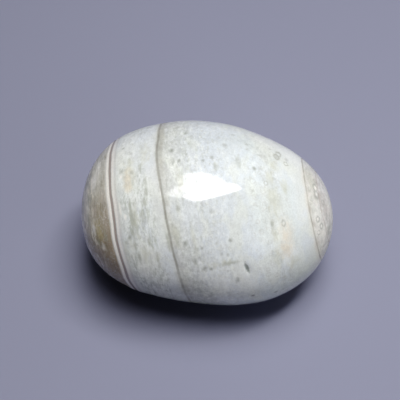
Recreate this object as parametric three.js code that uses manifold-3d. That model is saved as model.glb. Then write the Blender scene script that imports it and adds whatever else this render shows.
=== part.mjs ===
// An ocean jasper palm stone: one solid, egg-like pebble, ground and polished by hand, lying on its side.
// Millimetres, +Z up. +X runs level along the stone towards its narrower end, and the origin is on the
// surface that the stone rests on, under the middle of its length and width.
import * as THREE from "three";
import { mergeVertices } from "three/addons/utils/BufferGeometryUtils.js";
import Module from "manifold-3d";

// Driving dimensions of the ground form, before its foot is cut.
const LENGTH = 60;
const WIDTH = 43.6;
const HEIGHT = 42.7;

// How full the cross-sections are, against those of an ellipsoid. Both ends are blunter than an
// ellipsoid's, and the taper makes the -X end the blunter of the two.
const END_FULLNESS = 0.114;
const TIP_FULLNESS = 0.07;
const TAPER = 0.025;
const TIP_TAPER = 0.057;

// Hand grinding leaves the long sides slightly wavy: they sway by this much, this many radians per half length.
const SWAY_ACROSS = 0.3;
const SWAY_UP = 0.15;
const SWAY_RATE = 4.7;
const SWAY_START = 0.1;

// The long axis leans, with the narrower end lower.
const LEAN = THREE.MathUtils.degToRad(6);

// The worn flat that the stone rests on: how much of the round underside it takes away.
const FOOT_DEPTH = 0.6;

// Each edge of the icosahedron that the skin starts from is split into this many facets.
const FACETS_PER_EDGE = 16;
const SAME_CORNER = 1e-4;

const wasm = await Module();
wasm.setup();

// The point of the stone's skin that a direction from its middle, a unit vector, is carried to.
function skinPoint(direction) {
  const along = direction.x;
  const fullness =
    1 -
    TAPER * along +
    END_FULLNESS * along ** 2 -
    TIP_TAPER * along ** 3 +
    TIP_FULLNESS * along ** 4;
  const sway = Math.cos(SWAY_RATE * (along + SWAY_START));
  return new THREE.Vector3(
    (LENGTH / 2) * along,
    (WIDTH / 2) * fullness * direction.y + SWAY_ACROSS * sway,
    (HEIGHT / 2) * fullness * direction.z + SWAY_UP * sway,
  );
}

// The position-only copy of a geometry, with the vertices that its faces share merged.
function shell(geometry) {
  const bare = geometry.clone();
  bare.deleteAttribute("normal");
  bare.deleteAttribute("uv");
  return mergeVertices(bare, SAME_CORNER);
}

// A closed geometry as a solid that can be cut.
function solidFrom(geometry) {
  const closed = shell(geometry);
  return new wasm.Manifold(
    new wasm.Mesh({
      numProp: 3,
      vertProperties: closed.attributes.position.array,
      triVerts: new Uint32Array(closed.index.array),
    }),
  );
}

// A solid back as a geometry with flat facets.
function geometryFrom(solid) {
  const mesh = solid.getMesh();
  const indexed = new THREE.BufferGeometry()
    .setAttribute("position", new THREE.BufferAttribute(mesh.vertProperties, 3))
    .setIndex(new THREE.BufferAttribute(mesh.triVerts, 1));
  const faceted = indexed.toNonIndexed();
  faceted.computeVertexNormals();
  return faceted;
}

// The ground form: a ball of even facets, each corner carried out to the stone's skin, then leaned.
function groundForm() {
  const ball = shell(new THREE.IcosahedronGeometry(1, FACETS_PER_EDGE - 1));
  const corners = ball.attributes.position;
  const corner = new THREE.Vector3();
  for (let i = 0; i < corners.count; i += 1) {
    corner.fromBufferAttribute(corners, i).normalize();
    corners.setXYZ(i, ...skinPoint(corner));
  }
  ball.rotateY(LEAN);
  ball.computeBoundingBox();
  return ball;
}

// Everything below a height, as a slab wider than the stone.
function slabBelow(height) {
  const slab = new THREE.BoxGeometry(2 * LENGTH, 2 * WIDTH, HEIGHT);
  slab.translate(0, 0, height - HEIGHT / 2);
  return slab;
}

function makeStone() {
  const form = groundForm();
  const footHeight = form.boundingBox.min.z + FOOT_DEPTH;
  const standing = solidFrom(form).subtract(solidFrom(slabBelow(footHeight)));
  const geometry = geometryFrom(standing);
  geometry.computeBoundingBox();
  const middle = geometry.boundingBox.getCenter(new THREE.Vector3());
  geometry.translate(-middle.x, -middle.y, -footHeight);

  const jasper = new THREE.MeshStandardMaterial({
    color: new THREE.Color().setRGB(0.84, 0.85, 0.83, THREE.SRGBColorSpace),
    roughness: 0.12,
    metalness: 0,
  });
  const stone = new THREE.Mesh(geometry, jasper);
  stone.name = "stone";
  return stone;
}

const oceanJasper = new THREE.Group();
oceanJasper.add(makeStone());

export default oceanJasper;
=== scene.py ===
"""An ocean jasper palm stone, lying on its side on a plain floor under a softbox. Metres, +Z up."""
from math import cos, exp, pi, radians, sin, tau

import bpy
import numpy as np
from mathutils import Matrix, Vector


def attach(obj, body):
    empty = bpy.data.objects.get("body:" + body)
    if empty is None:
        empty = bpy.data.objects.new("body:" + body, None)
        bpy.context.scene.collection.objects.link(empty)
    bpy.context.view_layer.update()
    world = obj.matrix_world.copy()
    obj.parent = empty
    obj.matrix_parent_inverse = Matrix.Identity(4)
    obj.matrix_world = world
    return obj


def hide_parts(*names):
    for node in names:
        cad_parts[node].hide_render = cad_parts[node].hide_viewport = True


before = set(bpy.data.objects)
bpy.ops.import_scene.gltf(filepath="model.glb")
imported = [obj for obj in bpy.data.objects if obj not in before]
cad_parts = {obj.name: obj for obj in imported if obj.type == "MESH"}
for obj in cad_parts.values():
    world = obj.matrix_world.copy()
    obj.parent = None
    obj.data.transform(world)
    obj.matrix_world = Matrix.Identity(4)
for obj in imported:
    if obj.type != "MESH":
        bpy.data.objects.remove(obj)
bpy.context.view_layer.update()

# The stone. A single egg-like pebble of pale layered chalcedony, ground to shape on a wheel and
# polished all over. It lies on a small worn flat, with its long axis leaning and its narrower end lower.
MM = 0.001
STONE_LENGTH = 60 * MM
STONE_WIDTH = 43.6 * MM
STONE_HEIGHT = 42.7 * MM
STONE_LEAN = radians(6)
FOOT_DEPTH = 0.6 * MM
FOOT_ROUNDING = 0.05 * MM
SWAY_SIDEWAYS = 0.3 * MM
SWAY_UPWARDS = 0.15 * MM
SWAY_PACE = 4.7
SWAY_START = -0.1
RINGS = 300
SEGMENTS = 320


def fullness(along):
    """How full a cross-section is against an ellipsoid's, from -1 at the blunt end to 1 at the narrow
    end: 1, less a taper in the first and third powers, plus a second and a fourth power that blunt both
    ends."""
    return 1 - 0.025 * along + 0.114 * along**2 - 0.057 * along**3 + 0.07 * along**4


def ground_form(sweep, turn):
    """The ground form at a sweep from one tip to the other and a turn round the long axis: an ellipsoid
    whose cross-sections are scaled by the fullness, and whose axis sways by a cosine of the distance
    along it. The whole is then leant about its middle."""
    along = -np.cos(sweep)
    across = np.sin(sweep) * fullness(along)
    sway = np.cos(SWAY_PACE * (along - SWAY_START))
    x = STONE_LENGTH / 2 * along
    y = STONE_WIDTH / 2 * across * np.cos(turn) + SWAY_SIDEWAYS * sway
    z = STONE_HEIGHT / 2 * across * np.sin(turn) + SWAY_UPWARDS * sway
    leant_x = x * cos(STONE_LEAN) + z * sin(STONE_LEAN)
    leant_z = z * cos(STONE_LEAN) - x * sin(STONE_LEAN)
    return np.stack([leant_x, y, leant_z], axis=-1)


def outward(sweep, turn):
    """The outward normal of the ground form: the cross product of its differences over a small step of
    the turn and of the sweep, made one unit long."""
    step = 1e-4
    by_sweep = ground_form(sweep + step, turn) - ground_form(sweep - step, turn)
    by_turn = ground_form(sweep, turn + step) - ground_form(sweep, turn - step)
    normal = np.cross(by_turn, by_sweep)
    return normal / np.linalg.norm(normal, axis=-1, keepdims=True)


sweep, turn = np.meshgrid(
    np.linspace(0, pi, RINGS + 1), np.linspace(0, tau, SEGMENTS, endpoint=False), indexing="ij"
)
form = ground_form(sweep, turn)
form_low = form.min(axis=(0, 1))
form_middle = (form_low + form.max(axis=(0, 1))) / 2
SET_DOWN = np.array([form_middle[0], form_middle[1], form_low[2] + FOOT_DEPTH])

# The layers lie across the stone, a little turned and leaned against its length. Their own frame has X
# across the layers towards the narrow end, with Y and Z in them, and starts at the stone's middle.
LAYER_MIDDLE = Vector((0, 0, 21 * MM))
LAYERS_TURNED = radians(8)
LAYERS_LEANED = radians(-10.7)
LAYER_AXES = Matrix.Rotation(LAYERS_TURNED, 3, "Z") @ Matrix.Rotation(LAYERS_LEANED, 3, "Y")


def skin_point(along, down):
    """The place and outward normal on the skin at a distance along the stone in millimetres, from its
    middle, and an angle down its front in degrees, from its top line."""
    sweep = np.arccos(-along * MM / (STONE_LENGTH / 2))
    turn = radians(90 + down)
    return ground_form(sweep, turn) - SET_DOWN, outward(sweep, turn)


# Hollows in the skin, each an oval dent: its distance along the stone, its angle down the front, its
# half widths across and along the layers, its depth, and its turn from the layers' run. The first is an
# open slit, and the others are pinholes.
HOLLOWS = [
    (9.0, 61, 0.5, 1.65, 0.3, 8),
    (-7.8, -24, 0.45, 0.5, 0.1, 0),
    (-10.6, -9, 0.45, 0.5, 0.08, 0),
    (8.2, -2, 0.35, 0.4, 0.08, 0),
    (-17.4, 51, 0.4, 0.45, 0.1, 0),
    (-21.4, -20, 0.3, 0.35, 0.06, 0),
    (1.2, 140, 0.5, 0.8, 0.15, 15),
    (-14.0, 215, 0.5, 0.9, 0.15, -20),
    (12.0, 250, 0.45, 0.6, 0.12, 0),
]
HOLLOW_REACH = 10 * MM


def mark_axes(normal, turn):
    """Three directions for a mark on the skin: across the layers, along them, and outwards, the first
    two turned about the third."""
    outwards = Vector(normal)
    run = outwards.cross(LAYER_AXES.col[0]).normalized()
    run.rotate(Matrix.Rotation(radians(turn), 3, outwards))
    return run.cross(outwards), run, outwards


def hollowed(points, normals):
    """The skin with each hollow pressed in along the normal, by its depth times a bell curve of the
    distance from its centre over its half widths. Past its reach it does nothing, so that it doesn't
    come out on the stone's other side."""
    for along, down, half_width, half_length, deep, slant in HOLLOWS:
        centre, normal = skin_point(along, down)
        side, run, _ = mark_axes(normal, slant)
        offset = points - centre
        over_width = offset @ np.array(side) / (half_width * MM)
        over_length = offset @ np.array(run) / (half_length * MM)
        beyond = np.linalg.norm(offset, axis=-1) > HOLLOW_REACH
        bell = np.where(beyond, 0, np.exp(-over_width**2 - over_length**2))
        points = points - normals * (deep * MM * bell)[..., None]
    return points


WAVE_COUNT = 9
WAVE_LENGTHS = (7, 16)
WAVE_HEIGHT = 0.008 * MM


def waved(points, normals):
    """The skin raised and sunk by the faint waves that a polishing wheel leaves: a sum of sines of the
    distance along a few directions, each of its own length in millimetres."""
    rng = np.random.default_rng(4)
    rise = np.zeros(points.shape[:-1])
    for _ in range(WAVE_COUNT):
        direction = rng.normal(size=3)
        direction /= np.linalg.norm(direction)
        wave_length = rng.uniform(*WAVE_LENGTHS) * MM
        rise += WAVE_HEIGHT * np.sin(tau * (points @ direction) / wave_length + rng.uniform(0, tau))
    return points + normals * rise[..., None]


def closed_skin(name, rings):
    """A mesh from rings of points between two poles: the first and last ring close on their mean point,
    and the faces point outwards."""
    ring_count, segment_count = rings.shape[:2]
    poles = np.stack([rings[0].mean(axis=0), rings[-1].mean(axis=0)])
    inner = rings[1:-1].reshape(-1, 3)
    points = np.concatenate([inner, poles])
    ring_starts = np.arange(ring_count - 2) * segment_count
    here = np.arange(segment_count)
    after = (here + 1) % segment_count
    near = ring_starts[:-1, None] + here
    beside = ring_starts[:-1, None] + after
    quads = np.stack([near, beside, beside + segment_count, near + segment_count], axis=-1)
    first_pole = np.full(segment_count, len(inner))
    first_fan = np.stack([after, here, first_pole], axis=-1)
    last_fan = np.stack([ring_starts[-1] + here, ring_starts[-1] + after, first_pole + 1], axis=-1)
    faces = quads.reshape(-1, 4).tolist() + first_fan.tolist() + last_fan.tolist()
    mesh = bpy.data.meshes.new(name)
    mesh.from_pydata(points.tolist(), [], faces)
    mesh.polygons.foreach_set("use_smooth", np.ones(len(mesh.polygons), dtype=bool))
    mesh.update()
    piece = bpy.data.objects.new(name, mesh)
    bpy.context.scene.collection.objects.link(piece)
    return piece


# At a tip the form has no edge direction round the axis, so the tips take their neighbours' mean normal.
# The foot is flat: a height under the surface that the stone lies on becomes that surface's, with the
# change rounded off.
normals = outward(sweep, turn)
normals[0] = normals[1].mean(axis=0)
normals[-1] = normals[-2].mean(axis=0)
skin = waved(hollowed(form - SET_DOWN, normals), normals)
height = skin[..., 2]
skin[..., 2] = (height + np.sqrt(height**2 + FOOT_ROUNDING**2)) / 2
stone = closed_skin("polished_stone", skin)


class Wire:
    """An output socket in the tree that is being wired. Sums on wires of numbers add Math nodes."""

    tree = None

    def __init__(self, socket):
        self.socket = socket

    @classmethod
    def node(cls, kind, settings=None, sockets=None, out=0, stops=None):
        """A node of a kind, with its settings, its ramp stops, and the values or wires of its sockets
        by name or number. Returns the wire of one output."""
        added = cls.tree.nodes.new(kind)
        for key, value in (settings or {}).items():
            setattr(added, key, value)
        if stops:
            ramp = added.color_ramp
            while len(ramp.elements) < len(stops):
                ramp.elements.new(0.5)
            for element, (position, tint) in zip(ramp.elements, stops):
                element.position = position
                element.color = (*tint, 1)
        for key, value in (sockets or {}).items():
            if isinstance(value, Wire):
                value.to(added.inputs[key])
            else:
                added.inputs[key].default_value = value
        return cls(added.outputs[out])

    def to(self, socket):
        """A link from this wire to an input socket."""
        self.tree.links.new(self.socket, socket)

    def math(self, operation, *others):
        """A Math node with this wire first, and then the other wires or numbers."""
        sockets = dict(enumerate((self, *others)))
        return Wire.node("ShaderNodeMath", {"operation": operation}, sockets)

    def __add__(self, other):
        return self.math("ADD", other)

    def __radd__(self, other):
        return self.math("ADD", other)

    def __sub__(self, other):
        return self.math("SUBTRACT", other)

    def __rsub__(self, other):
        return Wire.node("ShaderNodeMath", {"operation": "SUBTRACT"}, {0: other, 1: self})

    def __mul__(self, other):
        return self.math("MULTIPLY", other)

    def __rmul__(self, other):
        return self.math("MULTIPLY", other)

    def step(self, low, high, start=0.0, end=1.0):
        """A smooth step from start to end as the value goes from low to high."""
        settings = {"interpolation_type": "SMOOTHSTEP"}
        sockets = {"Value": self, "From Min": low, "From Max": high, "To Min": start, "To Max": end}
        return Wire.node("ShaderNodeMapRange", settings, sockets)


def mixed(share, first, second, blend="MIX"):
    """A mix of two colours by a share of the second."""
    settings = {"data_type": "RGBA", "blend_type": blend}
    return Wire.node("ShaderNodeMix", settings, {0: share, 6: first, 7: second}, out=2)


def colour(red, green, blue):
    """An opaque colour."""
    return (red, green, blue, 1)


jasper = bpy.data.materials.new("polished_jasper")
jasper.use_nodes = True
Wire.tree = jasper.node_tree

on_stone = Wire.node("ShaderNodeTexCoord", out="Object")


def seen_from(middle, axes, units):
    """The place on the stone in a frame with its own middle, directions of axes and units."""
    sockets = {"Vector": on_stone, "Location": middle, "Rotation": axes.to_euler(), "Scale": units}
    return Wire.node("ShaderNodeMapping", {"vector_type": "TEXTURE"}, sockets)


in_layers = seen_from(LAYER_MIDDLE, LAYER_AXES, (MM, MM, MM))
across = Wire.node("ShaderNodeSeparateXYZ", {}, {0: in_layers}, out="X")
layer_outputs = across.socket.node.outputs
sideways = Wire(layer_outputs["Y"])
upwards = Wire(layer_outputs["Z"])


def stretched(wide, long, shift):
    """The place in the layers counted in widths across them and in lengths in them, both given in
    millimetres, and then shifted."""
    sockets = {0: in_layers, 1: (1 / wide, 1 / long, 1 / long), 2: shift}
    return Wire.node("ShaderNodeVectorMath", {"operation": "MULTIPLY_ADD"}, sockets)


def grain(wide, long, seed, detail=2.0, roughness=0.5):
    """Noise from 0 to 1 with lumps of a width across the layers and a length in them, in millimetres."""
    spot = stretched(wide, long, (seed, seed * 1.7, seed * 2.3))
    sockets = {"Vector": spot, "Scale": 1.0, "Detail": detail, "Roughness": roughness}
    return Wire.node("ShaderNodeTexNoise", {}, sockets)


# Depth through the layers in millimetres, from the blunt end to the narrow end. The first seams run
# truer across the stone than the later ones, all of them waver, and the grey seam bends at its middle.
drift = across.step(-16, -8, -0.010, 0.017) * sideways + across.step(16, 24, 0.0, 0.045) * upwards
waver = (grain(9, 9, 3.1, detail=1) - 0.5) * 0.7 + (grain(1.6, 2.4, 8.4) - 0.5) * 0.14
bend = sideways.step(-3, 3, 0.12, 0.4) * sideways.step(5, 10, 1.0, 0.0) + sideways.step(-8, -3, -0.24, 0.0)
near_grey_seam = across.step(-9, -7.5) * across.step(-6, -4.5, 1.0, 0.0)
depth = across + drift + waver + bend * near_grey_seam

# The colour of the rock at each depth, and below it how busy the rock is there with grain and cracks.
LAYERS = [
    (-30.0, (0.74, 0.70, 0.57)),
    (-26.5, (0.64, 0.59, 0.47)),
    (-24.6, (0.60, 0.55, 0.43)),
    (-23.4, (0.55, 0.50, 0.38)),
    (-22.2, (0.49, 0.44, 0.33)),
    (-21.0, (0.47, 0.42, 0.35)),
    (-19.9, (0.52, 0.47, 0.40)),
    (-19.45, (0.80, 0.75, 0.67)),
    (-18.8, (0.84, 0.79, 0.72)),
    (-18.1, (0.76, 0.73, 0.69)),
    (-17.4, (0.78, 0.76, 0.73)),
    (-16.8, (0.71, 0.73, 0.70)),
    (-15.0, (0.76, 0.79, 0.77)),
    (-12.5, (0.76, 0.78, 0.75)),
    (-10.0, (0.78, 0.81, 0.81)),
    (-8.0, (0.75, 0.775, 0.765)),
    (-7.2, (0.68, 0.69, 0.66)),
    (-6.2, (0.61, 0.61, 0.58)),
    (-4.0, (0.67, 0.685, 0.665)),
    (0.0, (0.68, 0.71, 0.725)),
    (5.0, (0.70, 0.74, 0.765)),
    (11.0, (0.72, 0.765, 0.78)),
    (13.5, (0.73, 0.775, 0.76)),
    (15.6, (0.68, 0.71, 0.685)),
    (17.5, (0.68, 0.71, 0.685)),
    (19.5, (0.675, 0.715, 0.695)),
    (21.2, (0.695, 0.74, 0.74)),
    (23.6, (0.755, 0.775, 0.745)),
    (24.3, (0.78, 0.76, 0.69)),
    (25.0, (0.68, 0.68, 0.63)),
    (27.2, (0.75, 0.74, 0.71)),
    (29.0, (0.84, 0.84, 0.81)),
]
BUSY = [
    (-30, 1.0), (-20, 0.9), (-19, 0.15), (-17.2, 0.2), (-16.2, 0.9), (-9.5, 0.75),
    (-7.6, 0.35), (-6.5, 0.8), (-3, 0.95), (3, 0.85), (8, 0.5), (11.5, 0.4),
    (14, 0.6), (17, 0.55), (20, 0.25), (24.2, 0.2), (25, 0.8), (30, 1.0),
]
SPAN = 30.0


def by_depth(stops):
    """A ramp of colours along the depth, from one span before the middle to one span past it."""
    share = (depth + SPAN) * (0.5 / SPAN)
    stops = [((where + SPAN) / (2 * SPAN), tint) for where, tint in stops]
    return Wire.node("ShaderNodeValToRGB", {}, {"Fac": share}, stops=stops)


body = by_depth(LAYERS)
busy = by_depth([(where, (level, level, level)) for where, level in BUSY])


def between(start, end, soft=1.0):
    """A mask of the layers between two depths, with soft edges."""
    return depth.step(start - soft, start + soft) * depth.step(end - soft, end + soft, 1.0, 0.0)


blunt_end = depth.step(-19.9, -19.4, 1.0, 0.0)
narrow_end = depth.step(24.3, 24.9)
pale = (1 - blunt_end) * (1 - narrow_end)

# Clouds in the pale rock: blue-white, cream-green, and lumps of milky grain.
blue_cloud = grain(6, 9, 11.0).step(0.46, 0.62) * pale
body = mixed(blue_cloud * 0.4, body, colour(0.71, 0.76, 0.82))
cream_cloud = grain(4, 8, 23.5, detail=3).step(0.48, 0.66) * pale
body = mixed(cream_cloud * 0.5, body, colour(0.79, 0.81, 0.73))
milk = grain(1.0, 1.5, 31.0, detail=5, roughness=0.62).step(0.50, 0.66) * pale * busy
body = mixed(milk * 0.65, body, colour(0.86, 0.88, 0.86))
murk = grain(0.9, 1.6, 36.5, detail=5, roughness=0.62).step(0.50, 0.66) * pale * busy
body = mixed(murk * 0.6, body, colour(0.55, 0.57, 0.53))

# Streaks that run with the layers: grey-green smears and pale flecks, and olive and cream streaks in the
# brown cap at the blunt end.
smear_field = between(-16.5, -9.5, 1.0) + between(-6.0, 0.0, 1.0) * 0.8 + between(14.5, 18.5, 1.0) * 0.5
smears = grain(0.7, 1.9, 41.0, detail=5, roughness=0.65).step(0.545, 0.66) * smear_field
body = mixed(smears * 0.6, body, colour(0.46, 0.48, 0.42))
streak_field = between(-16.3, -9.5, 0.8) * sideways.step(-7, 3, 1.0, 0.3) + between(-5.5, 2.0, 2.0) * 0.45
streaks = grain(0.55, 2.6, 44.0, detail=4, roughness=0.6).step(0.48, 0.62) * streak_field
body = mixed(streaks * 0.6, body, colour(0.49, 0.52, 0.45))
flecks = grain(0.5, 1.5, 47.0, detail=4, roughness=0.6).step(0.52, 0.64) * streak_field
body = mixed(flecks * 0.75, body, colour(0.85, 0.88, 0.85))
cap_top = sideways.step(-7, 2) * blunt_end
body = mixed(cap_top * 0.65, body, colour(0.66, 0.66, 0.60))
cap_low = sideways.step(-12, -6, 1.0, 0.0) * blunt_end
body = mixed(cap_low * 0.6, body, colour(0.42, 0.35, 0.26))
cap_dark = grain(0.6, 3.2, 52.0, detail=5, roughness=0.65).step(0.48, 0.64) * blunt_end
body = mixed(cap_dark * 0.55, body, colour(0.34, 0.31, 0.23))
cap_lines = grain(0.28, 4.0, 55.0, detail=3, roughness=0.6).step(0.35, 0.65, -1.0, 1.0) * blunt_end
cap_tip = depth.step(-24, -22, 1.0, 0.0)
cap_cream = grain(0.9, 2.6, 67.0, detail=5, roughness=0.6).step(0.50, 0.62) * cap_tip
body = mixed(cap_cream * 0.8, body, colour(0.90, 0.86, 0.72))

# A lace of fine healed cracks, dark and pale, that bends round the lumps of grain.
lace = (grain(1.5, 2.1, 83.0, detail=3) - 0.5).math("ABSOLUTE").step(0.0, 0.022, 1.0, 0.0) * busy
broken = grain(2.0, 2.6, 85.0, detail=2).step(0.42, 0.58)
body = mixed(lace * broken * 0.6, body, colour(0.50, 0.51, 0.47))
pale_lace = (grain(1.3, 2.0, 87.0, detail=3) - 0.5).math("ABSOLUTE").step(0.0, 0.02, 1.0, 0.0) * busy
body = mixed(pale_lace * 0.4, body, colour(0.92, 0.93, 0.90))

# Pores and specks: small grey dots, scattered at random, most of them in the middle of the stone.
ragged_noise = grain(0.35, 0.5, 90.0, detail=2)


def scattered(size, seed, long=1.0):
    """A scatter of balls through the rock: the distance to the nearest ball's centre, and a random
    number for each ball. The size is that of the cells that hold one ball each, in millimetres, and
    they may be longer in the layers."""
    sockets = {"Vector": stretched(size, size * long, (seed, seed, seed)), "Scale": 1.0, "Randomness": 1.0}
    distance = Wire.node("ShaderNodeTexVoronoi", {"feature": "F1"}, sockets, out="Distance")
    ball_colour = Wire(distance.socket.node.outputs["Color"])
    lot = Wire.node("ShaderNodeSeparateColor", {}, {0: ball_colour})
    return distance * size, lot


def scattered_dots(size, seed, small, large):
    """A mask of oval dots whose half widths run from small to large, in millimetres."""
    distance, lot = scattered(size, seed, long=1.5)
    rim = lot * (large - small) + small
    return (distance - rim + (ragged_noise - 0.5) * 0.5).step(-0.22, 0.16, 1.0, 0.0)


pore_field = between(-16.5, 13, 1.5) * 0.4 + between(-6, 6, 2.0) * 0.6
pores = scattered_dots(1.7, 5.0, -0.15, 0.45) * pore_field
body = mixed(pores * 0.45, body, colour(0.40, 0.41, 0.38))
specks = scattered_dots(0.9, 17.0, -0.12, 0.22) * pale * busy
body = mixed(specks * 0.5, body, colour(0.46, 0.47, 0.44))


# Orbs: small eyes of agate, each a grey ring round a pale middle.
def scattered_rings(size, seed, small, large, width):
    """A mask of rings, whose half widths run from small to large and whose lines have one width."""
    distance, lot = scattered(size, seed)
    rim = lot * (large - small) + small
    gap = (distance - rim + (ragged_noise - 0.5) * 0.3).math("ABSOLUTE")
    return gap.step(0.0, width, 1.0, 0.0)


orb_field = between(11, 20.5, 1.0) * 0.45 + narrow_end
orbs = scattered_rings(1.9, 40.0, 0.1, 0.7, 0.22) * orb_field
body = mixed(orbs * 0.6, body, colour(0.50, 0.49, 0.44))
swirl = grain(0.8, 1.4, 57.0, detail=5, roughness=0.65).step(0.45, 0.60) * narrow_end
body = mixed(swirl * 0.5, body, colour(0.53, 0.50, 0.45))
blush = grain(1.0, 1.8, 61.0, detail=4, roughness=0.6).step(0.48, 0.62) * narrow_end
body = mixed(blush * 0.5, body, colour(0.88, 0.83, 0.80))

# Marks that stand out, each at its own place. Most are lenses and balls that grew in the layers, and a few
# pale ones are painted light.
frayed_noise = grain(0.7, 1.6, 94.0, detail=3)


def length_of(offset):
    """The length of a vector."""
    return Wire.node("ShaderNodeVectorMath", {"operation": "LENGTH"}, {0: offset}, out="Value")


def reaches(places):
    """How far a point is from the middle of each mark, as a share of the mark's half widths. A place is
    a distance along the stone, an angle down its front, and half widths across and in the layers."""
    found = []
    for along, down, wide, long in places:
        surface, _ = skin_point(along, down)
        middle = LAYER_AXES.transposed() @ (Vector(surface) - LAYER_MIDDLE) / MM
        shift = (-middle[0] / wide, -middle[1] / long, -middle[2] / long)
        found.append(length_of(stretched(wide, long, shift)))
    return found


def least(wires):
    """The least of some wires."""
    lowest, *others = wires
    for other in others:
        lowest = lowest.math("MINIMUM", other)
    return lowest


def lenses(places, ragged=1.5):
    """A mask of solid lenses with soft, ragged edges."""
    return (least(reaches(places)) + (frayed_noise - 0.5) * ragged).step(0.0, 1.45, 1.0, 0.0)


def eyes(places):
    """A mask of hollow lenses, which show as rings."""
    gap = least([(reach - 1).math("ABSOLUTE") for reach in reaches(places)])
    return (gap + (ragged_noise - 0.5) * 1.2).step(0.0, 0.55, 1.0, 0.0)


blue_patches = lenses([(-17.2, -14, 2.6, 7.0), (-5.2, 34, 2.6, 6.0), (-8.6, 31, 1.2, 4.0)])
body = mixed(blue_patches * 0.5, body, colour(0.72, 0.76, 0.82))
grey_patches = lenses([(-13.6, 7, 2.6, 4.5), (-11.9, 30, 1.3, 2.4)])
body = mixed(grey_patches * 0.5, body, colour(0.64, 0.65, 0.645))
# Cream patches of the rock, and three pale lenses far up the back, at 13 to 17.5 mm along and 32 to 44
# degrees behind the top line, that are painted light on the top rim.
cream_patches_and_rim_light = lenses([
    (-19.4, 3, 1.2, 1.8), (18.6, 52, 2.0, 3.4), (7.8, 70, 3.2, 5.5), (-14.0, 72, 1.5, 3.0),
    (-16.8, 58, 0.7, 3.6), (6.1, 62, 1.2, 2.0), (23.9, 18, 1.6, 2.8), (4.0, 76, 5.0, 9.0),
    (-22.0, -8, 1.2, 5.0), (5.8, 63, 1.0, 1.0), (16.0, -32, 4.0, 8.0), (-13.4, 66, 2.2, 5.0),
    (9.0, 74, 4.0, 8.0), (-11.8, 62, 2.2, 3.0), (13.0, -42, 5.0, 8.0), (17.5, -44, 4.0, 8.0),
])
body = mixed(cream_patches_and_rim_light * 0.6, body, colour(0.84, 0.85, 0.79))
# Painted light along the top rim, at the right and at the left.
painted_rim_light = lenses([(12.0, -42, 5.0, 7.0), (17.5, -40, 4.0, 7.0), (-21.0, -27, 3.0, 6.0)])
body = mixed(painted_rim_light * 0.5, body, colour(0.92, 0.94, 0.93))
olive_patches = lenses([
    (-19.3, 8, 1.6, 3.8), (-19.4, -2, 0.8, 1.6), (12.6, -10, 1.2, 1.6), (11.6, 0, 0.9, 2.6),
    (12.9, 14, 1.4, 4.4), (14.0, 36, 0.7, 2.2), (19.6, 58, 1.3, 2.0), (-7.6, 43, 0.9, 3.8),
    (-16.6, -9, 1.6, 3.6), (15.3, 4, 0.9, 1.8), (-16.9, 36, 1.2, 3.6), (-17.8, 61, 0.9, 2.6),
    (-13.7, 59, 1.0, 2.4), (3.6, 59, 3.4, 0.7), (15.6, 53, 1.4, 2.4), (-3.6, 46, 0.6, 3.6),
    (-7.8, 14, 0.8, 3.0), (21.9, -15, 1.4, 4.5),
], ragged=2.4)
body = mixed(olive_patches * 0.45, body, colour(0.57, 0.57, 0.45))
yellow_patches = lenses([(-24.6, 57, 1.2, 2.4), (-24.4, 65, 0.9, 1.0)])
body = mixed(yellow_patches * 0.6, body, colour(0.54, 0.46, 0.25))
peach_patches = lenses([(-19.5, 12, 1.2, 3.0), (16.9, 37, 1.6, 3.6), (17.4, 46, 1.8, 2.6)])
body = mixed(peach_patches * 0.6, body, colour(0.79, 0.70, 0.56))
brown_patches = lenses([(-26.0, 38, 1.3, 2.6), (-23.4, 78, 2.0, 3.0)])
body = mixed(brown_patches * 0.6, body, colour(0.46, 0.40, 0.34))
# Pale patches near both ends: partly the rock's own cream, and partly painted light on the lower sides of
# both ends.
pale_ends_and_painted_light = lenses([
    (-26.9, 4, 1.5, 3.6), (-28.4, 38, 1.4, 5.0), (27.6, -3, 0.9, 5.0), (24.8, 31, 1.6, 3.6),
    (26.0, 34, 1.4, 4.0),
])
body = mixed(pale_ends_and_painted_light * 0.6, body, colour(0.88, 0.86, 0.79))
smudges = lenses([
    (-17.0, 3, 0.5, 1.5), (-15.6, 12, 0.4, 1.6), (-15.2, 20, 0.4, 1.6), (-15.3, 27, 0.5, 1.4),
    (-15.1, 34, 0.5, 1.4), (-18.3, 29, 0.35, 1.6), (-17.6, 36, 0.5, 1.8), (-17.3, 42, 0.6, 2.0),
    (-16.9, 47, 0.5, 1.4), (-14.9, 64, 0.4, 2.4), (4.2, -5, 0.6, 1.7), (-0.7, 2, 0.5, 1.8),
    (-7.9, 29, 0.6, 1.0), (-10.9, 62, 0.45, 2.0), (5.4, 58, 2.0, 0.55), (13.2, 31, 0.4, 0.8),
    (-28.9, 2, 0.9, 1.3), (-28.0, 24, 0.6, 1.0), (-23.0, 56, 0.4, 1.4), (-24.5, 66, 0.6, 0.9),
    (-27.3, 52, 0.5, 1.6), (27.8, 31, 1.0, 1.6), (-9.1, 49, 0.5, 2.0), (-16.0, 57, 0.45, 1.8),
    (-13.2, 52, 0.4, 1.6),
], ragged=2.4)
body = mixed(smudges * 0.6, body, colour(0.39, 0.40, 0.33))
dark_dots = lenses([
    (-7.8, -25, 0.5, 0.55), (-10.6, -9, 0.5, 0.55), (-8.7, -1, 0.45, 0.5), (-13.0, -16, 0.45, 0.5),
    (-3.5, -2, 0.4, 0.5), (-5.3, 49, 0.55, 0.6), (-1.6, 51, 0.4, 0.5), (4.3, 44, 0.4, 0.5),
    (8.1, -3, 0.5, 0.5), (-17.5, 51, 0.5, 0.6), (7.5, 71, 0.6, 0.9), (11.8, 88, 0.5, 0.5),
    (17.2, 89, 0.5, 0.5), (-4.5, 12, 0.25, 0.8), (-21.4, -20, 0.4, 0.4), (1.1, 64, 0.5, 0.5),
    (-0.3, 64, 0.6, 0.6), (-2.6, 60, 0.5, 0.9),
])
body = mixed(dark_dots * 0.7, body, colour(0.30, 0.31, 0.27))
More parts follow.
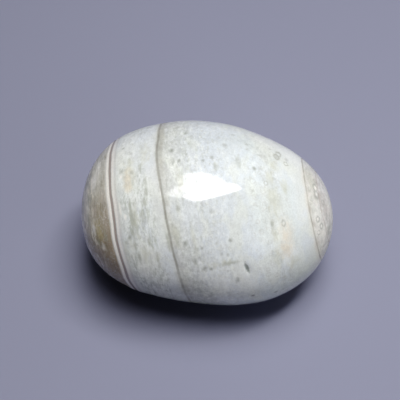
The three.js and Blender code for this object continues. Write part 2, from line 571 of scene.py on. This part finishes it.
faint_dots = lenses([
    (-6.9, -1, 0.4, 0.45), (-7.2, -6, 0.35, 0.4), (1.1, -16, 0.9, 0.7), (3.1, -29, 0.5, 0.4),
    (6.2, -22, 0.4, 0.4), (6.2, -17, 0.4, 0.4), (-9.5, -34, 0.5, 0.5), (9.4, -4, 0.6, 0.6),
    (8.1, 12, 0.35, 0.4), (9.4, 21, 0.3, 0.3), (-19.6, -11, 0.6, 0.6), (-21.1, 4, 0.5, 0.5),
    (-18.8, 6, 0.4, 0.5), (-11.0, 12, 0.4, 0.4), (11.8, -26, 0.5, 0.5), (9.0, -15, 1.0, 0.4),
    (9.6, -19, 0.4, 0.4), (12.9, 0, 0.45, 0.5), (2.9, 53, 0.45, 0.5), (4.2, 53, 0.45, 0.5),
    (1.4, 47, 0.4, 0.4), (-5.2, 5, 0.6, 0.5), (-1.5, -5, 0.5, 0.5), (13.2, 31, 0.4, 0.6),
    (13.4, -20, 0.8, 1.1), (13.9, -26, 0.8, 0.7), (10.6, -16, 0.7, 0.9), (15.8, -22, 0.5, 0.8),
])
body = mixed(faint_dots * 0.45, body, colour(0.38, 0.39, 0.35))
white_spots = lenses([
    (-27.1, 5, 1.3, 2.2), (-26.0, 56, 0.5, 1.6), (-23.2, 68, 0.7, 0.9), (23.1, -9, 0.3, 0.8),
    (21.5, -7, 0.3, 0.7), (23.5, -2, 0.4, 0.5), (24.2, 22, 0.4, 0.5), (25.4, 28, 0.3, 0.4),
    (-21.0, 8, 0.4, 0.6), (-20.3, 33, 0.3, 2.0), (-19.0, 37, 0.35, 0.8), (-26.6, -12, 0.8, 3.0),
])
body = mixed(white_spots * 0.8, body, colour(0.93, 0.91, 0.85))
brown_spots = lenses([
    (24.6, -2, 0.35, 2.4), (25.7, -3, 0.7, 1.6), (26.4, 9, 1.0, 2.2), (23.4, 27, 0.5, 0.8),
    (21.9, 14, 0.4, 1.2), (24.9, 47, 0.6, 1.6),
], ragged=2.4)
body = mixed(brown_spots * 0.5, body, colour(0.48, 0.43, 0.38))
rims = eyes([
    (13.3, -20, 0.6, 0.8), (13.8, -24, 0.55, 0.75), (15.6, -17, 0.45, 0.6), (10.9, 5, 0.4, 0.5),
    (23.1, -9, 0.6, 0.8), (23.5, -2, 0.65, 0.9), (25.4, 2, 0.5, 0.6), (24.2, 22, 0.6, 0.6),
    (25.4, 28, 0.5, 0.6), (24.9, 35, 0.4, 0.5), (23.2, -18, 0.4, 0.5), (15.8, 29, 0.45, 0.6),
])
body = mixed(rims * 0.6, body, colour(0.42, 0.42, 0.37))

# The open slit, dark in it and to a little past its edge.
SLIT_DARK_DEPTH = 2 * MM
slit_along, slit_down, slit_half_width, slit_half_length, _, slit_slant = HOLLOWS[0]
slit_centre, slit_normal = skin_point(slit_along, slit_down)
slit_axes = Matrix(mark_axes(slit_normal, slit_slant)).transposed()
slit_size = (slit_half_width * MM, slit_half_length * MM, SLIT_DARK_DEPTH)
in_slit = seen_from(Vector(slit_centre), slit_axes, slit_size)
slit_dark = (length_of(in_slit) + (ragged_noise - 0.5)).step(0.4, 1.2, 1.0, 0.0)
body = mixed(slit_dark * 0.9, body, colour(0.22, 0.24, 0.22))

# Seams: thin layers where the rock stopped growing and started again, most of them dark, and stronger
# in some stretches than in others.
strength = grain(5, 2.5, 77.0, detail=4).step(0.3, 0.65, 0.45, 1.0)


def seam(at, half_width, soft):
    """A mask of one thin layer at a depth."""
    return (depth - at).math("ABSOLUTE").step(half_width - soft, half_width + soft, 1.0, 0.0)


# The lip is a cream layer painted near white, partly as the painted highlight along its raised ridge.
lip_and_sheen = seam(-19.15, 0.3, 0.14)
body = mixed(lip_and_sheen * 0.95, body, colour(0.99, 0.96, 0.89))
brown_seam = seam(-18.48, 0.32, 0.12)
body = mixed(brown_seam, body, colour(0.41, 0.36, 0.33))
white_seam = seam(-17.78, 0.24, 0.16)
body = mixed(white_seam * 0.7, body, colour(0.90, 0.87, 0.82))
hair_seam = seam(-17.15, 0.2, 0.18)
body = mixed(hair_seam * strength * 0.35, body, colour(0.50, 0.48, 0.44))
far_side = sideways.step(-4, 1)
grey_edge = seam(-6.3, 0.8, 0.5)
body = mixed(grey_edge * (strength * 0.25 + far_side * 0.4), body, colour(0.46, 0.45, 0.39))
grey_seam = seam(-6.82, 0.27, 0.16)
grey_strength = sideways.step(-21, -18, 0.6, 1.0) * (strength * 0.4 + 0.45)
body = mixed(grey_seam * grey_strength, body, colour(0.34, 0.33, 0.29))
tan_seam = seam(24.45, 0.14, 0.12)
body = mixed(tan_seam * strength * 0.8, body, colour(0.38, 0.345, 0.29))
fine_seam = seam(27.0, 0.12, 0.1)
body = mixed(fine_seam * strength * 0.5, body, colour(0.44, 0.36, 0.30))

# Painted light and shade, slow over the stone: painted shade greying the back and across the front, a
# painted light paling the belly, and painted shade making the underside greener and darker, most low on
# the front of the blunt half and on the front of the cap.
painted_back_shade = sideways.step(-1, 4) * sideways.step(7, 12, 1.0, 0.0) * between(-8, 14, 1.5)
painted_belly_light = upwards.step(-2, 2) * upwards.step(9, 13, 1.0, 0.0) * between(-18, 21, 2.0)
painted_belly_light = painted_belly_light * sideways.step(-12, -8, 1.0, 0.0)
painted_front_shade = sideways.step(-15.5, -12.5) * sideways.step(-7, -4, 1.0, 0.0) * between(-18, 12, 2.0)
painted_underside_shade = upwards.step(-8, 6, 1.0, 0.0)
front_underside = sideways.step(-13, -8, 1.0, 0.0)
painted_blunt_shade = upwards.step(1, 9, 1.0, 0.0) * depth.step(-4, 4, 1.0, 0.0) * front_underside
painted_cap_shade = front_underside * blunt_end
# Each painted shade or painted light: its mask, and the colour that the rock's colour is multiplied by
# there.
PAINTED_SHADING = [
    (painted_back_shade, colour(0.93, 0.935, 0.94)),
    (painted_belly_light, colour(1.04, 1.04, 1.04)),
    (painted_front_shade, colour(0.945, 0.945, 0.945)),
    (painted_underside_shade, colour(0.97, 0.98, 0.89)),
    (painted_blunt_shade, colour(0.81, 0.81, 0.77)),
    (painted_cap_shade, colour(0.88, 0.86, 0.80)),
]
for part, shade in PAINTED_SHADING:
    body = mixed(part, body, shade, blend="MULTIPLY")

# The fine, even grain of the whole stone, its lumps and the lines in its cap, as a lighter or darker
# tone.
fine = grain(0.3, 0.42, 101.0, detail=4, roughness=0.75).step(0.3, 0.7, -1.0, 1.0)
lumps = grain(1.1, 1.8, 105.0, detail=4, roughness=0.6).step(0.25, 0.75, -1.0, 1.0)
tone = 0.975 + fine * 0.065 + lumps * busy * 0.12 + cap_lines * 0.08
grey_tone = Wire.node("ShaderNodeCombineColor", {}, {0: tone, 1: tone, 2: tone})
body = mixed(1.0, body, grey_tone, blend="MULTIPLY")

# The polish: glossy rock, duller in the seams, the pores and the dark of the slit. The soft seams are
# polished away a little deeper than the rock round them, and the hard lip stands up.
SEAM_RELIEF = 0.03 * MM
POLISH_ROUGHNESS = 0.055
QUARTZ_IOR = 1.54
relief = lip_and_sheen * 0.5 - brown_seam - grey_seam * 0.8 - tan_seam * 0.5 - pores * 0.4 + fine * 0.03
bump = Wire.node("ShaderNodeBump", {}, {"Strength": 1.0, "Distance": SEAM_RELIEF, "Height": relief})
dull = brown_seam * 0.12 + grey_seam * 0.12 + dark_dots * 0.2 + slit_dark * 0.3 + pores * 0.06
rock = Wire.tree.nodes["Principled BSDF"].inputs
body.to(rock["Base Color"])
(dull + POLISH_ROUGHNESS).to(rock["Roughness"])
bump.to(rock["Normal"])
rock["IOR"].default_value = QUARTZ_IOR
stone.data.materials.append(jasper)
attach(stone, "root")
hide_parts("stone")

# The floor. A plain pale lavender-grey sheet, matt and seamless. It glows faintly away from the stone,
# where the lights don't reach, so that it stays pale as far as its horizon.
FLOOR_REACH = 1.5
FLOOR_COLOUR = colour(0.274, 0.279, 0.367)
GLOW_COLOUR = colour(0.21, 0.215, 0.285)
GLOW_START = 0.2
GLOW_FULL = 0.8
corners = [(-1, -1), (1, -1), (1, 1), (-1, 1)]
floor_mesh = bpy.data.meshes.new("floor")
floor_mesh.from_pydata([(x * FLOOR_REACH, y * FLOOR_REACH, 0) for x, y in corners], [], [(0, 1, 2, 3)])
floor = bpy.data.objects.new("floor", floor_mesh)
bpy.context.scene.collection.objects.link(floor)
sheet = bpy.data.materials.new("floor_sheet")
sheet.use_nodes = True
Wire.tree = sheet.node_tree
from_stone = length_of(Wire.node("ShaderNodeTexCoord", out="Object"))
far_glow = mixed(from_stone.step(GLOW_START, GLOW_FULL), colour(0, 0, 0), GLOW_COLOUR)
matt = Wire.tree.nodes["Principled BSDF"].inputs
far_glow.to(matt["Emission Color"])
matt["Emission Strength"].default_value = 1.0
matt["Base Color"].default_value = FLOOR_COLOUR
matt["Roughness"].default_value = 0.9
matt["Specular IOR Level"].default_value = 0.0
floor_mesh.materials.append(sheet)


# The lights. Five flat panels overhead make one kite-shaped softbox, brightest along its near edge and
# in its middle. Three weak panels, at the front right, right and back right, lift the stone's side.
def soft_panel(name, place, size, watts):
    """A rectangular area light, facing down."""
    light = bpy.data.lights.new(name, "AREA")
    light.shape = "RECTANGLE"
    light.size, light.size_y = size
    light.energy = watts
    panel = bpy.data.objects.new(name, light)
    panel.location = place
    bpy.context.scene.collection.objects.link(panel)
    return panel


# Each panel of the softbox: its name, place, size, power in watts, and turn about the upright in degrees.
SOFTBOX_HEIGHT = 0.45
SOFTBOX = [
    ("key_strip", 0.0877, -0.0228, (0.262, 0.048), 1.13, 43),
    ("key_right", 0.0777, 0.0704, (0.172, 0.077), 0.27, -35),
    ("key_top", -0.0120, 0.0730, (0.075, 0.117), 0.185, -18),
    ("key_middle", 0.0239, -0.0010, (0.118, 0.105), 0.46, 49),
    ("key_end", -0.0540, -0.0590, (0.076, 0.100), 0.15, -35),
]
for name, x, y, size, watts, turned in SOFTBOX:
    panel = soft_panel(name, (x, y, SOFTBOX_HEIGHT), size, watts)
    panel.rotation_euler = (0, 0, radians(turned))

# Each weak panel: its name, place and power. All of them face the stone.
FILL_SIZE = (0.5, 0.4)
FILL_HEIGHT = 0.35
FILL_TARGET = Vector((0, 0, 0.02))
FILLS = [("front_panel", 0.55, -0.5, 0.55), ("side_panel", 0.7, 0, 0.42), ("back_panel", 0.40, 0.57, 0.38)]
for name, x, y, watts in FILLS:
    panel = soft_panel(name, (x, y, FILL_HEIGHT), FILL_SIZE, watts)
    panel.rotation_euler = (FILL_TARGET - panel.location).to_track_quat("-Z", "Y").to_euler()

# The backdrop. A plain wall behind the floor, of the floor's far colour. Only the camera sees it, and it
# gives no light.
backdrop = bpy.data.worlds.new("backdrop")
backdrop.use_nodes = True
Wire.tree = backdrop.node_tree
wall = Wire.tree.nodes["Background"].inputs
wall["Color"].default_value = GLOW_COLOUR
Wire.node("ShaderNodeLightPath", out="Is Camera Ray").to(wall["Strength"])
bpy.context.scene.world = backdrop

# The tones. The darkest are deepened, as a camera's own curve does: each by a share that falls away
# exponentially as the tone gets lighter.
DEEPENING = 0.98
DEEP_TONE = 0.075
view = bpy.context.scene.view_settings
view.view_transform = "Standard"
view.use_curve_mapping = True
tone_curve = view.curve_mapping.curves[3]
for level in (0.02, 0.045, 0.08, 0.14, 0.22, 0.4):
    tone_curve.points.new(level, level * (1 - DEEPENING * exp(-level / DEEP_TONE)))
view.curve_mapping.update()

# The camera. It looks down on the front of the stone from slightly to the right.
CAMERA_AZIMUTH = radians(4.14)
CAMERA_ELEVATION = radians(59.25)
CAMERA_DISTANCE = 238.7 * MM
AIM = Vector((-1.99 * MM, 2.42 * MM, 22.48 * MM))
towards_camera = Vector((
    sin(CAMERA_AZIMUTH) * cos(CAMERA_ELEVATION),
    -cos(CAMERA_AZIMUTH) * cos(CAMERA_ELEVATION),
    sin(CAMERA_ELEVATION),
))
lens = bpy.data.cameras.new("camera")
lens.sensor_width = 36
lens.lens = 90
lens.clip_start = 0.01
camera = bpy.data.objects.new("camera", lens)
camera.location = AIM + towards_camera * CAMERA_DISTANCE
camera.rotation_euler = (-towards_camera).to_track_quat("-Z", "Y").to_euler()
bpy.context.scene.collection.objects.link(camera)
bpy.context.scene.camera = camera
